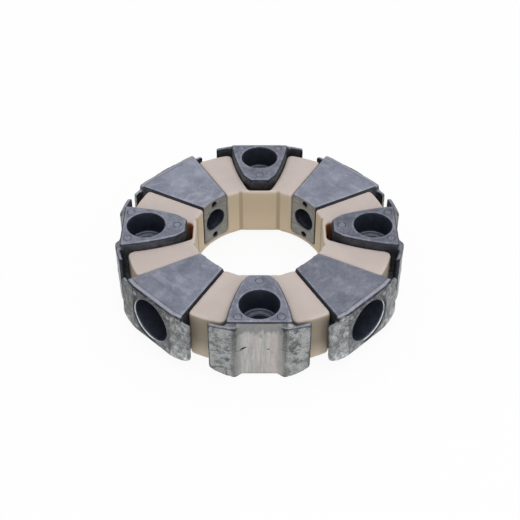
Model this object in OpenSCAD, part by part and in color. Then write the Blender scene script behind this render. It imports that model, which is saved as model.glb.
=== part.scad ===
// Flexible shaft coupling: an elastomer ring of eight lobes grips eight cast inserts.
// Four axial inserts bolt to a flywheel and four radial inserts bolt to a hub.
// The coupling stands on the feet of its axial inserts, on the XY plane.

/* [Coupling] */
// Diameter over the outer faces of the inserts
outer_d = 218; // [214:1:224]
// Distance from the outer diameter to the axis of an axial bolt
bolt_inset = 23.5; // [22.5:0.25:25]
// Clearance between an insert and the pocket that grips it
seat_gap = 0.25; // [0.1:0.05:0.4]
// Radial thickness of the wings on the inserts
wing_t = 3.5; // [3:0.25:4.5]
// Bevel along the cast edges
cast_bevel = 0.9; // [0.4:0.1:1.2]
// Draft of the cast flanks, in degrees
cast_draft = 1.5; // [0.5:0.25:2.5]
// Radius at the lower corners of the wings
wing_corner_r = 2.5; // [1.5:0.25:4]

/* [Elastomer ring] */
// Bore of the ring
ring_bore_d = 100; // [97:0.5:102]
// Height of the ring
ring_h = 41; // [38:0.5:42]
// Height of the ring's underside above the feet of the axial inserts
ring_lift = 5; // [4:0.5:7]
// Gap between a lobe and the inner face of the wings around it
lobe_gap = 4.5; // [3:0.5:6]
// Corner radius of a lobe beside an axial insert, seen from above
lobe_corner_r = 4; // [2:0.5:5]
// Radius on the upper and lower outer edges of the lobes
lobe_edge_r = 1.6; // [0.6:0.2:3]
// How far the flat pads stand into the bore
pad_proud = 2; // [1.4:0.2:2.4]
// Radius of the upright groove at each side of a pad
pad_groove_r = 1.3; // [0.8:0.1:1.6]
// Wall between a pad and the pocket behind it
pocket_wall = 2.8; // [2:0.2:3.6]
// Thickness of the web under the inner end of a radial insert
web_t = 4.2; // [3:0.2:5]
// How far that web reaches outward from the bore
web_reach = 20; // [12:1:22]

/* [Axial inserts] */
// Height of an axial insert
axial_h = 52; // [50:0.5:56]
// Height of the mould's parting line above the feet
parting_z = 25; // [20:1:30]
// Gap between the inner end of the insert and the end of its pocket
axial_end_gap = 3.5; // [2:0.5:5]
// Width of the insert across its inner end, at the parting line
axial_inner_w = 21.2; // [19:0.2:23]
// Width of the insert at its outer flat, at the parting line
axial_outer_w = 48.4; // [46:0.2:50]
// Radius of the bowed flanks, seen from above
axial_flank_r = 160; // [120:5:220]
// Width of the blunt tip at the inner end
axial_tip_w = 13; // [11:0.5:15]
// Length over which the tip widens to the flanks
axial_tip_len = 7; // [5:0.5:9]
// Depth of the machined flat below the outer diameter
axial_flat_depth = 5.25; // [4:0.25:6.5]
// Width of the machined flat
axial_flat_w = 24.8; // [22:0.2:28]
// Width over the ridges beside the flat
axial_ridge_w = 34.6; // [31:0.2:38]
// Half of the angle that the wings span
axial_wing_angle = 19.2; // [17.5:0.1:20]
// Drop of the wings' top below the insert's top
axial_wing_drop = 3; // [2:0.25:5]
// Width of the straight foot under the wings
axial_foot_w = 30; // [26:1:34]
// Radius of the sweep that rises from that foot to the wings' ends
axial_sweep_r = 38; // [34:1:46]
// Diameter of the bolt hole
axial_hole_d = 18; // [16:0.25:19]
// Diameter of the counterbore for the bolt head
axial_cbore_d = 28.4; // [26:0.2:29]
// Depth of the counterbore
axial_cbore_depth = 18.5; // [14:0.5:24]
// Diameter of the washer seat in the counterbore's floor
axial_seat_d = 23.6; // [22:0.2:25]
// Depth of the washer seat
axial_seat_depth = 1.2; // [0.6:0.1:2]

/* [Radial inserts] */
// How far a radial insert stands above the ring
radial_proud = 1.2; // [0.4:0.1:2]
// Height of a radial insert's underside above the feet of the axial inserts
radial_lift = 6.25; // [4.5:0.25:7.5]
// Width of a radial insert across its inner face
radial_inner_w = 25.4; // [24:0.2:27]
// Half of the angle between its flanks
radial_half_angle = 16.1; // [15:0.1:16.5]
// How far its outer flat stands beyond the outer diameter, at the bolt's height
radial_flat_over = 0.4; // [0:0.1:1.5]
// Draft of that flat, which leans inward to the top, in degrees
radial_flat_draft = 3; // [1:0.25:4]
// Width of the flat
radial_flat_w = 40; // [38:0.5:42]
// How far the bevel above the flat reaches inward
radial_bevel_run = 2.4; // [1:0.2:4]
// How far that bevel reaches down
radial_bevel_drop = 1; // [0.5:0.1:1.4]
// Height of the hub bolts' axis above the feet of the axial inserts
hub_bolt_z = 27.75; // [27.5:0.05:28]
// Diameter of the hub bolt hole
hub_hole_d = 17.5; // [16:0.25:18]
// Diameter of the hole's mouth in the inner face
hub_mouth_d = 18.4; // [18:0.1:20]
// Depth of that mouth
hub_mouth_depth = 4; // [2:0.5:6]
// Diameter of the counterbore for the bolt head
hub_cbore_d = 33.6; // [31:0.2:34]
// Distance from the coupling's axis to the counterbore's floor
hub_cbore_floor = 76; // [74:0.5:82]
// Chamfer round the counterbore's rim
hub_cbore_chamfer = 0.9; // [0.6:0.1:1.2]
// Wall of the raised lip round that rim
hub_lip_wall = 0.6; // [0.4:0.1:1]
// Height of the lip
hub_lip_h = 0.8; // [0.4:0.1:1.2]
// Diameter of the two dowel holes in the inner face
dowel_hole_d = 4.8; // [4:0.2:5]
// Depth of the dowel holes
dowel_hole_depth = 8; // [5:0.5:10]
// Distance between the two dowel holes
dowel_spacing = 30.5; // [29:0.1:30.8]
// Width over the wings
radial_wing_w = 72; // [68:0.5:75]
// Angle by which the wings lean back from the flat
radial_wing_slope = 11; // [7:0.5:14]
// Drop of the wings' top below the insert's top
radial_wing_drop = 4.2; // [2.4:0.2:6]
// Width of the straight foot under the wings
radial_foot_w = 48; // [42:1:52]
// Radius of the sweep that rises from that foot to the wings' ends
radial_sweep_r = 20; // [18:1:26]

/* [Hidden] */
$fn = 96;

// Directions of the inserts round the coupling's axis
front_dir = -90;
right_dir = 0;
back_dir = 90;
left_dir = 180;
half_step = 45;

// Overlap that lets one cut or join run past another
past = 1;
outer_r = outer_d / 2;
bolt_circle_d = outer_d - 2 * bolt_inset;
wing_r = outer_r - wing_t;
beyond_r = outer_r + 10 * past;

ring_bore_r = ring_bore_d / 2;
ring_top = ring_lift + ring_h;
lobe_r = wing_r - lobe_gap;
pad_rho = ring_bore_r - pad_proud;
pad_half_w = sqrt(ring_bore_r * ring_bore_r - pad_rho * pad_rho);
pad_groove_angle = asin(pad_half_w / ring_bore_r) + 1;
web_top = ring_lift + web_t;
web_r = ring_bore_r + web_reach;

pocket_end = pad_rho + pocket_wall;
axial_inner = pocket_end + axial_end_gap;
axial_flat_rho = outer_r - axial_flat_depth;
axial_wing_top = axial_h - axial_wing_drop;
axial_wing_half_w = outer_r * sin(axial_wing_angle);

radial_top = ring_top + radial_proud;
radial_wing_top = radial_top - radial_wing_drop;
radial_flat_rho = outer_r + radial_flat_over;

// Centre of an arc of radius r through points a and b that bows away from the X axis
function arc_centre(a, b, r) =
    let (d = b - a, half = norm(d) / 2, back = sqrt(r * r - half * half))
    (a + b) / 2 + back * [d[1], -d[0]] / norm(d);

// Point of the circle round c, radius r, that also lies rr from the origin, on the side of +Y
function circles_meet(c, r, rr) =
    let (d = norm(c), along = (rr * rr - r * r + d * d) / (2 * d), off = sqrt(rr * rr - along * along))
    along * c / d + off * [-c[1], c[0]] / d;

flank_start = [axial_inner, axial_inner_w / 2];
flank_end = [axial_flat_rho, axial_outer_w / 2];
flank_centre = arc_centre(flank_start, flank_end, axial_flank_r);

// Half of the width of a radial insert at distance rho from the coupling's axis
function radial_half_w(rho) = radial_inner_w / 2 + (rho - ring_bore_r) * tan(radial_half_angle);

// Solid of revolution whose side is the drafted flank, widest at the parting line
module flank_barrel(grow) {
    low_r = axial_flank_r - parting_z * tan(cast_draft) + grow;
    mid_r = axial_flank_r + grow;
    high_r = axial_flank_r - (axial_h - parting_z) * tan(cast_draft) + grow;
    translate([flank_centre[0], flank_centre[1], 0])
        rotate_extrude()
            polygon([
                [0, 0], [low_r - cast_bevel, 0], [low_r, cast_bevel], [mid_r, parting_z],
                [high_r, axial_h - cast_bevel], [high_r - cast_bevel, axial_h], [0, axial_h]
            ]);
}

// Space between the two bowed flanks, from the coupling's axis outward
module between_flanks(grow) {
    intersection() {
        flank_barrel(grow);
        mirror([0, 1, 0]) flank_barrel(grow);
        translate([0, -axial_outer_w, 0]) cube([beyond_r, 2 * axial_outer_w, axial_h]);
    }
}

// Side view of the axial insert's core, run across its width
module axial_side_view() {
    end_draft = parting_z * tan(cast_draft);
    rotate([90, 0, 0])
        linear_extrude(height = 2 * axial_outer_w, center = true)
            polygon([
                [axial_inner + end_draft + cast_bevel, 0], [axial_inner + end_draft, cast_bevel],
                [axial_inner, parting_z], [axial_inner + end_draft, axial_h - cast_bevel],
                [axial_inner + end_draft + cast_bevel, axial_h],
                [axial_flat_rho - cast_bevel, axial_h], [axial_flat_rho, axial_h - cast_bevel],
                [axial_flat_rho, 0]
            ]);
}

// Plan of the blunt tip, run up the insert's height
module axial_tip_view() {
    widest = axial_outer_w;
    slope = (axial_inner_w - axial_tip_w) / 2 / axial_tip_len + tan(radial_half_angle);
    reach = axial_outer_w / slope;
    linear_extrude(height = axial_h)
        polygon([
            [axial_inner, -axial_tip_w / 2], [axial_inner + reach, -axial_tip_w / 2 - widest],
            [beyond_r, -axial_tip_w / 2 - widest], [beyond_r, axial_tip_w / 2 + widest],
            [axial_inner + reach, axial_tip_w / 2 + widest], [axial_inner, axial_tip_w / 2]
        ]);
}

// Straight foot and the sweeps that rise on both sides of it, as seen from outside
module foot_sweep(half_w, top, foot, foot_w, sweep_r) {
    intersection() {
        union() {
            translate([-foot_w / 2, foot]) square([foot_w, top - foot]);
            translate([-foot_w / 2 - sweep_r, foot + sweep_r])
                square([foot_w + 2 * sweep_r, top - foot]);
            for (side = [-1, 1])
                translate([side * foot_w / 2, foot + sweep_r])
                    circle(r = sweep_r, $fn = 2 * $fn);
        }
        translate([-half_w, foot]) square([2 * half_w, top - foot]);
    }
}

// Everything above the swept underside of an insert
module above_sweep(top, foot, foot_w, sweep_r) {
    rotate([90, 0, 90])
        linear_extrude(height = beyond_r)
            foot_sweep(outer_r, top + past, foot, foot_w, sweep_r);
}

// Corner that is cut away to round the lower end of a wing
module wing_corner_cut(half_w, foot, foot_w, sweep_r) {
    across = half_w - wing_corner_r - foot_w / 2;
    within = sweep_r - wing_corner_r;
    down = sqrt(within * within - across * across);
    centre = [half_w - wing_corner_r, foot + sweep_r - down];
    outward = [across, -down] / within;
    difference() {
        polygon([
            centre, centre + (wing_corner_r + past) * outward,
            [half_w + past, centre[1] - wing_corner_r], [half_w + past, centre[1]]
        ]);
        translate(centre) circle(r = wing_corner_r);
    }
}

// Outline of a pair of wings as seen from outside, with round lower corners
module wing_outline(half_w, top, foot, foot_w, sweep_r) {
    rotate([90, 0, 90])
        linear_extrude(height = beyond_r)
            difference() {
                foot_sweep(half_w, top, foot, foot_w, sweep_r);
                wing_corner_cut(half_w, foot, foot_w, sweep_r);
                mirror([1, 0]) wing_corner_cut(half_w, foot, foot_w, sweep_r);
            }
}

// Curved wings that reach round the ring on both sides of an axial insert
module axial_wings() {
    intersection() {
        difference() {
            cylinder(h = axial_wing_top, r = outer_r, $fn = 4 * $fn);
            translate([0, 0, -past]) cylinder(h = axial_h, r = wing_r, $fn = 4 * $fn);
        }
        wing_outline(axial_wing_half_w, axial_wing_top, 0, axial_foot_w, axial_sweep_r);
    }
}

// Metal between the axial insert's core and its wings, inside the wings' outline
module axial_shoulder() {
    inside = axial_flat_rho - 2 * axial_flat_depth;
    intersection() {
        cylinder(h = axial_wing_top, r = outer_r, $fn = 4 * $fn);
        between_flanks(0);
        translate([inside, -axial_outer_w, 0]) cube([beyond_r, 2 * axial_outer_w, axial_wing_top]);
        wing_outline(axial_wing_half_w, axial_wing_top, 0, axial_foot_w, axial_sweep_r);
    }
}

// Notch with sloping sides that leaves the machined flat on the outer face
module axial_flat_notch() {
    ridge_half = axial_ridge_w / 2;
    ridge_rho = sqrt(outer_r * outer_r - ridge_half * ridge_half);
    slope = (ridge_half - axial_flat_w / 2) / (ridge_rho - axial_flat_rho);
    mouth = axial_flat_w / 2 + slope * (beyond_r - axial_flat_rho);
    translate([0, 0, -past])
        linear_extrude(height = axial_h + 2 * past)
            polygon([
                [axial_flat_rho, -axial_flat_w / 2], [beyond_r, -mouth],
                [beyond_r, mouth], [axial_flat_rho, axial_flat_w / 2]
            ]);
}

// Stepped hole for a flywheel bolt, with a rim chamfer
module axial_bolt_hole() {
    floor_z = axial_h - axial_cbore_depth;
    translate([bolt_circle_d / 2, 0, 0]) {
        translate([0, 0, -past]) cylinder(h = axial_h + 2 * past, d = axial_hole_d);
        translate([0, 0, floor_z - axial_seat_depth]) cylinder(h = axial_h, d = axial_seat_d);
        translate([0, 0, floor_z]) cylinder(h = axial_h, d = axial_cbore_d);
    }
}

// Cast insert with an upright bolt hole, pointing along +X
module axial_insert(direction) {
    color("lightslategray")
        rotate([0, 0, direction])
            difference() {
                union() {
                    intersection() {
                        between_flanks(0);
                        axial_side_view();
                        axial_tip_view();
                        above_sweep(axial_h, 0, axial_foot_w, axial_sweep_r);
                    }
                    axial_shoulder();
                    axial_wings();
                }
                axial_flat_notch();
                axial_bolt_hole();
            }
}

// Wedge between the flanks of a radial insert, pointing along +X
module radial_wedge(grow, foot, top) {
    grown = grow / cos(radial_half_angle);
    inner = pad_rho / 2;
    translate([0, 0, foot])
        linear_extrude(height = top - foot)
            polygon([
                [inner, -radial_half_w(inner) - grown], [beyond_r, -radial_half_w(beyond_r) - grown],
                [beyond_r, radial_half_w(beyond_r) + grown], [inner, radial_half_w(inner) + grown]
            ]);
}

// Turned envelope of the radial inserts: concave inner face and step over the web
module radial_envelope() {
    rotate_extrude($fn = 4 * $fn)
        polygon([
            [ring_bore_r, web_top + seat_gap], [web_r + seat_gap, web_top + seat_gap],
            [web_r + seat_gap, radial_lift], [beyond_r, radial_lift],
            [beyond_r, radial_top], [ring_bore_r, radial_top]
        ]);
}

// Everything inside the leaning outer flat of a radial insert, or inside that flat moved outward
module inside_flat(shift) {
    lean = tan(radial_flat_draft);
    low_rho = radial_flat_rho + shift + hub_bolt_z * lean;
    high_rho = radial_flat_rho + shift - (radial_top - hub_bolt_z) * lean;
    rotate([90, 0, 0])
        linear_extrude(height = 2 * outer_r, center = true)
            polygon([[0, 0], [low_rho, 0], [high_rho, radial_top], [0, radial_top]]);
}

// Everything inside the outer flat and the two wings that lean back beside it
module inside_wings(shift) {
    crease = [radial_flat_rho, radial_flat_w / 2, 0];
    intersection() {
        inside_flat(shift);
        translate(crease) rotate([0, 0, radial_wing_slope]) translate(-crease) inside_flat(shift);
        mirror([0, 1, 0])
            translate(crease) rotate([0, 0, radial_wing_slope]) translate(-crease) inside_flat(shift);
    }
}

// Side view of the bevel above a radial insert's outer flat, run across
module radial_bevel_view() {
    edge_z = radial_top - radial_bevel_drop;
    edge_rho = radial_flat_rho - (edge_z - hub_bolt_z) * tan(radial_flat_draft);
    fall = radial_bevel_drop / radial_bevel_run;
    rotate([90, 0, 0])
        linear_extrude(height = 2 * outer_r, center = true)
            polygon([
                [0, 0], [beyond_r, 0], [beyond_r, edge_z - fall * (beyond_r - edge_rho)],
                [edge_rho - radial_bevel_run, radial_top], [0, radial_top]
            ]);
}

// Wings that reach round the ring on both sides of a radial insert
module radial_wings() {
    intersection() {
        difference() {
            inside_wings(0);
            inside_wings(-wing_t);
        }
        wing_outline(radial_wing_w / 2, radial_wing_top, radial_lift, radial_foot_w, radial_sweep_r);
    }
}

// Raised lip round the counterbore
module hub_bolt_lip() {
    rim_r = hub_cbore_d / 2 + hub_cbore_chamfer + hub_lip_wall;
    root_rho = radial_flat_rho - 2 * hub_lip_h;
    intersection() {
        translate([root_rho, 0, hub_bolt_z])
            rotate([0, 90, 0]) cylinder(h = 4 * hub_lip_h, r1 = rim_r + hub_lip_h, r2 = rim_r - hub_lip_h);
        inside_flat(hub_lip_h);
        radial_bevel_view();
    }
}

// Stepped hole for a hub bolt, from the outer face to the bore
module hub_bolt_hole() {
    translate([0, 0, hub_bolt_z])
        rotate([0, 90, 0]) {
            cylinder(h = beyond_r, d = hub_hole_d);
            cylinder(h = ring_bore_r + hub_mouth_depth, d = hub_mouth_d);
            translate([0, 0, hub_cbore_floor]) cylinder(h = outer_r, d = hub_cbore_d);
            translate([0, 0, radial_flat_rho + hub_lip_h - hub_cbore_chamfer])
                cylinder(
                    h = 2 * hub_cbore_chamfer,
                    d1 = hub_cbore_d, d2 = hub_cbore_d + 4 * hub_cbore_chamfer
                );
        }
}

// Blind dowel holes above and below the hub bolt's hole
module dowel_holes() {
    for (side = [-1, 1])
        translate([0, 0, hub_bolt_z + side * dowel_spacing / 2])
            rotate([0, 90, 0]) cylinder(h = ring_bore_r + dowel_hole_depth, d = dowel_hole_d);
}

// Cast insert with a level bolt hole, pointing along +X
module radial_insert(direction) {
    color("slategray")
        rotate([0, 0, direction])
            difference() {
                union() {
                    intersection() {
                        radial_envelope();
                        radial_wedge(0, 0, radial_top + past);
                        inside_wings(0);
                        radial_bevel_view();
                        above_sweep(radial_top, radial_lift, radial_foot_w, radial_sweep_r);
                    }
                    radial_wings();
                    hub_bolt_lip();
                }
                hub_bolt_hole();
                dowel_holes();
            }
}

// Section of the ring, with its outer corners rounded
module ring_section() {
    inner = pad_rho - past;
    union() {
        translate([inner, ring_lift]) square([lobe_r - lobe_edge_r - inner, ring_h]);
        translate([inner, ring_lift + lobe_edge_r]) square([lobe_r - inner, ring_h - 2 * lobe_edge_r]);
        translate([lobe_r - lobe_edge_r, ring_lift + lobe_edge_r]) circle(r = lobe_edge_r);
        translate([lobe_r - lobe_edge_r, ring_top - lobe_edge_r]) circle(r = lobe_edge_r);
    }
}

// Bore with the flat pads left standing, and a groove at each side of a pad
module ring_bore() {
    difference() {
        translate([0, 0, ring_lift - past]) cylinder(h = ring_h + 2 * past, r = ring_bore_r, $fn = 2 * $fn);
        for (direction = [front_dir, right_dir, back_dir, left_dir])
            rotate([0, 0, direction])
                translate([pad_rho, -ring_bore_r / 2, 0]) cube([ring_bore_r, ring_bore_r, axial_h]);
    }
    for (direction = [front_dir, right_dir, back_dir, left_dir], side = [-1, 1])
        rotate([0, 0, direction + side * pad_groove_angle])
            translate([ring_bore_r, 0, ring_lift - past])
                cylinder(h = ring_h + 2 * past, r = pad_groove_r, $fn = 32);
}

// Pocket for an axial insert, open at the outside
module axial_pocket() {
    intersection() {
        between_flanks(seat_gap);
        translate([pocket_end, -axial_outer_w, 0]) cube([beyond_r, 2 * axial_outer_w, axial_h]);
    }
}

// Rounds the two corners where an axial pocket leaves the ring
module lobe_corner_cut() {
    flank_r = axial_flank_r + seat_gap;
    round_centre = circles_meet(flank_centre, flank_r + lobe_corner_r, lobe_r - lobe_corner_r);
    outward = round_centre / norm(round_centre);
    to_flank = (flank_centre - round_centre) / norm(flank_centre - round_centre);
    on_rim = round_centre + lobe_corner_r * outward;
    on_flank = round_centre + lobe_corner_r * to_flank;
    corner = round_centre + 2 * lobe_corner_r * (outward + to_flank) / norm(outward + to_flank);
    translate([0, 0, ring_lift - past])
        linear_extrude(height = ring_h + 2 * past)
            difference() {
                polygon([
                    round_centre, on_rim, on_rim + past * outward, corner,
                    on_flank + past * to_flank, on_flank
                ]);
                translate(round_centre) circle(r = lobe_corner_r);
            }
}

// Pocket for a radial insert, with the web left under its inner end
module radial_pocket() {
    radial_wedge(seat_gap, web_top, ring_top + past);
    difference() {
        radial_wedge(seat_gap, ring_lift - past, web_top + past / 2);
        cylinder(h = axial_h, r = web_r);
    }
}

// One moulded ring: lobes joined by the walls behind the axial inserts and by the webs
module elastomer_ring() {
    color("antiquewhite")
        difference() {
            rotate_extrude($fn = 4 * $fn) ring_section();
            ring_bore();
            for (direction = [front_dir, right_dir, back_dir, left_dir]) {
                rotate([0, 0, direction]) axial_pocket();
                rotate([0, 0, direction]) lobe_corner_cut();
                rotate([0, 0, direction]) mirror([0, 1, 0]) lobe_corner_cut();
                rotate([0, 0, direction + half_step]) radial_pocket();
            }
        }
}

elastomer_ring();
axial_insert(front_dir);  // axial_insert_front
axial_insert(right_dir);  // axial_insert_right
axial_insert(back_dir);  // axial_insert_back
axial_insert(left_dir);  // axial_insert_left
radial_insert(front_dir + half_step);  // radial_insert_front_right
radial_insert(right_dir + half_step);  // radial_insert_back_right
radial_insert(back_dir + half_step);  // radial_insert_back_left
radial_insert(left_dir + half_step);  // radial_insert_front_left
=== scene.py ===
"""Dresses a flexible shaft coupling: a moulded elastomer ring that grips eight cast inserts.

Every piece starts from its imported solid, held as a distance field in millimetres, so that its
edges can be rounded as a casting's or a moulding's are. The surface then gets its relief, and
the finishes read where each point lies from values that are stored on the vertices.
"""

import logging
import math
from collections.abc import Callable
from dataclasses import dataclass, field
from enum import Enum

import bpy
import numpy as np
import openvdb
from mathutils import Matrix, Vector

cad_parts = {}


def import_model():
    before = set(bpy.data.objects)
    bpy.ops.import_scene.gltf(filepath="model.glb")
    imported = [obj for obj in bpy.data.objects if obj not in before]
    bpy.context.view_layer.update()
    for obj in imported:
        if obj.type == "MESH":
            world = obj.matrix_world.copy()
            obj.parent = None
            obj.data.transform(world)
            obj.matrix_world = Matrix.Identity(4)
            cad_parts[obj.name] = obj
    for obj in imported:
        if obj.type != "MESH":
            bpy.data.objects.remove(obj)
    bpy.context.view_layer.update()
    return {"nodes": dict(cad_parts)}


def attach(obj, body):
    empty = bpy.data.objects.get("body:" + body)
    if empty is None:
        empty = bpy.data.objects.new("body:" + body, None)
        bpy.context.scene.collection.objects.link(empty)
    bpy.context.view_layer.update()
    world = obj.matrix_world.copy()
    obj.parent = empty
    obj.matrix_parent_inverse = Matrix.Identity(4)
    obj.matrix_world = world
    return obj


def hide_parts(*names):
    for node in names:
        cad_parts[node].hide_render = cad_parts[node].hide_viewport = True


LOG = logging.getLogger("coupling")

Triple = tuple[float, float, float]
Pair = tuple[float, float]
Stops = tuple[tuple[float, Triple], ...]
Node = bpy.types.Node
Socket = bpy.types.NodeSocket
Coat = tuple[Socket, Socket | Triple]
MM = 1000.0
NOISE_MIDDLE = 0.5
BLUR_REACH = 2.5
CAP_REACH = 2.0
SHORTEST = 1e-9
MIX_UNDER, MIX_OVER, MIX_RESULT = 6, 7, 2


class Direction(Enum):
    """Where an insert points, in degrees round the axis from +X."""

    FRONT = -90.0
    RIGHT = 0.0
    BACK = 90.0
    LEFT = 180.0
    FRONT_RIGHT = -45.0
    BACK_RIGHT = 45.0
    BACK_LEFT = 135.0
    FRONT_LEFT = 225.0


class Value(Enum):
    """The names of the values that a piece's vertices carry for its finish."""

    PLACE = "place"
    GRAIN = "grain"
    EDGE = "edge"
    HOLLOW = "hollow"
    UP = "up"
    MACHINED = "machined"
    BORE = "bore"
    OUTER = "outer"
    DEEP = "deep"
    PIT = "pit"
    # which side of a radial hole gets the painted shadow beside its lip
    GRIME = "grime"
    TONE = "tone"


def step_between(values: np.ndarray, low: float, high: float) -> np.ndarray:
    """Ease values from 0 at one bound to 1 at the other.

    Args:
        values: The values to ease.
        low: Where the result is 0.
        high: Where the result is 1; it may be the smaller of the two.

    Returns:
        The eased values.
    """
    share = np.clip((values - low) / (high - low), 0.0, 1.0)
    return share * share * (3.0 - 2.0 * share)


def spun(points: np.ndarray, degrees: float) -> np.ndarray:
    """Turn points about the coupling's axis.

    Args:
        points: Rows of x, y and z.
        degrees: How far they turn, counterclockwise from above.

    Returns:
        The turned points.
    """
    angle = math.radians(degrees)
    cos, sin = math.cos(angle), math.sin(angle)
    turn = np.array([[cos, -sin, 0.0], [sin, cos, 0.0], [0.0, 0.0, 1.0]])
    return points @ turn.T


def pitch(voxel: float) -> float:
    return voxel * 1.0


def read_lattice(values: np.ndarray, whole: np.ndarray, part: np.ndarray) -> np.ndarray:
    """Read a lattice of numbers between its points.

    Args:
        values: The lattice, which repeats past its ends.
        whole: The lattice point before each place.
        part: How far each place lies past it, from 0 to 1 on each axis.

    Returns:
        One number for each place.
    """
    total = np.zeros(len(whole))
    for corner in np.ndindex(2, 2, 2):
        index = (whole + corner) % values.shape
        weight = np.prod(np.where(corner, part, 1.0 - part), axis=1)
        total += weight * values[index[:, 0], index[:, 1], index[:, 2]]
    return total


@dataclass
class Roughcast:
    """Smooth seeded noise over space, for the unevenness of a cast surface."""

    seed: int
    cells: int = 32
    lattice: np.ndarray = field(init=False, repr=False)

    def __post_init__(self) -> None:
        """Draw the lattice that the noise runs through."""
        shape = (self.cells, self.cells, self.cells)
        self.lattice = np.random.default_rng(self.seed).uniform(-1.0, 1.0, shape)

    def at(self, points: np.ndarray, wavelength: float) -> np.ndarray:
        """Read the noise at some points.

        Args:
            points: Rows of x, y and z in millimetres.
            wavelength: The distance between two lattice points, in millimetres.

        Returns:
            One value from -1 to 1 for each point.
        """
        scaled = points / wavelength
        whole = np.floor(scaled).astype(int)
        part = scaled - whole
        return read_lattice(self.lattice, whole, step_between(part, 0.0, 1.0))


@dataclass
class FieldBlock:
    """A distance field laid out as one block of numbers."""

    values: np.ndarray
    corner: np.ndarray
    voxel: float

    def blurred(self, sigma: float) -> "FieldBlock":
        """Blur the field, so that it tells an edge from a hollow.

        Args:
            sigma: The width of the blur in millimetres.

        Returns:
            The blurred field.
        """
        reach = max(1, math.ceil(BLUR_REACH * sigma / self.voxel))
        taps = np.arange(-reach, reach + 1) * self.voxel
        kernel = np.exp(-0.5 * (taps / sigma) ** 2)
        kernel /= kernel.sum()
        values = self.values
        for axis in range(3):
            pad = [(reach, reach) if axis == other else (0, 0) for other in range(3)]
            wide = np.pad(values, pad, mode="edge")
            length = values.shape[axis]
            values = sum(
                weight * np.take(wide, range(shift, shift + length), axis=axis)
                for shift, weight in enumerate(kernel)
            )
        return FieldBlock(values, self.corner, self.voxel)

    def at(self, points: np.ndarray) -> np.ndarray:
        """Read the field at some points.

        Args:
            points: Rows of x, y and z in millimetres.

        Returns:
            One distance for each point.
        """
        scaled = points / self.voxel - self.corner
        top = np.array(self.values.shape) - 2
        whole = np.clip(np.floor(scaled).astype(int), 0, top)
        return read_lattice(self.values, whole, scaled - whole)


@dataclass
class SolidField:
    """A solid as a distance field in millimetres, negative inside."""

    grid: openvdb.FloatGrid
    voxel: float
    reach: float = 6.0

    @classmethod
    def of_node(cls, node: bpy.types.Object, turn: float, voxel: float) -> "SolidField":
        """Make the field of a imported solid.

        Args:
            node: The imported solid's object.
            turn: How far it is turned about the axis first, in degrees.
            voxel: The field's pitch in millimetres.

        Returns:
            The field.
        """
        mesh = node.data
        mesh.calc_loop_triangles()
        points = np.empty(len(mesh.vertices) * 3, np.float32)
        mesh.vertices.foreach_get("co", points)
        corners = np.empty(len(mesh.loop_triangles) * 3, np.int32)
        mesh.loop_triangles.foreach_get("vertices", corners)
        points = spun(points.reshape(-1, 3) * MM, turn).astype(np.float32)
        grid = openvdb.FloatGrid.createLevelSetFromPolygons(
            points,
            triangles=corners.reshape(-1, 3).astype(np.uint32),
            transform=openvdb.createLinearTransform(voxelSize=voxel),
            halfWidth=cls.reach,
        )
        return cls(grid, voxel)

    def shifted(self, distance: float) -> "SolidField":
        """Grow the solid, or shrink it by a negative distance.

        Args:
            distance: How far its surface moves outward, in millimetres.

        Returns:
            The field of the moved surface.
        """
        points, quads = self.grid.convertToQuads(isovalue=distance)
        grid = openvdb.FloatGrid.createLevelSetFromPolygons(
            points, quads=quads, transform=self.grid.transform, halfWidth=self.reach
        )
        return SolidField(grid, self.voxel)

    def rounded(self, edge: float, corner: float) -> "SolidField":
        """Round the solid as a ball rolling over it would.

        Args:
            edge: The radius on its outer edges, in millimetres.
            corner: The radius in its inner corners, in millimetres.

        Returns:
            The rounded field.
        """
        return self.shifted(-edge).shifted(edge + corner).shifted(-corner)

    def with_zone(
        self, other: "SolidField", zone: Callable[[np.ndarray], np.ndarray]
    ) -> "SolidField":
        """Take another field's form inside a zone.

        Args:
            other: The field whose form is taken.
            zone: Gives 1 for points in the zone and 0 outside it.

        Returns:
            The combined field.
        """
        corner, shape = other.span()
        mine, theirs = self.block(corner, shape), other.block(corner, shape)
        places = (np.indices(tuple(shape)).reshape(3, -1).T + corner) * self.voxel
        share = zone(places).reshape(tuple(shape))
        mixed = (mine.values * (1.0 - share) + theirs.values * share).astype(np.float32)
        grid = openvdb.FloatGrid(self.grid.background)
        grid.transform = self.grid.transform
        grid.copyFromArray(mixed, ijk=tuple(int(c) for c in corner))
        return SolidField(grid, self.voxel)

    def block(self, corner: np.ndarray, shape: np.ndarray) -> FieldBlock:
        """Lay the field out as a block.

        Args:
            corner: The block's lowest corner, in voxels.
            shape: Its size, in voxels.

        Returns:
            The block.
        """
        values = np.empty(tuple(shape), np.float32)
        self.grid.copyToArray(values, ijk=tuple(int(c) for c in corner))
        return FieldBlock(values, np.array(corner), self.voxel)

    def span(self) -> tuple[np.ndarray, np.ndarray]:
        """Give the lowest corner and the size, in voxels, of a block round the solid."""
        low, high = self.grid.evalActiveVoxelBoundingBox()
        return np.array(low), np.array(high) - np.array(low) + 1

    def skin(self, edge_blur: float, hollow_blur: float) -> "Skin":
        """Make the surface of the solid.

        Args:
            edge_blur: The blur in millimetres that finds edges.
            hollow_blur: The blur in millimetres that finds hollows.

        Returns:
            The surface, with its edges and hollows stored.
        """
        points, faces = self.grid.convertToQuads(isovalue=0.0)
        skin = Skin(points.astype(float), faces.astype(int))
        skin.read_form(self.block(*self.span()), edge_blur, hollow_blur)
        return skin


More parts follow.
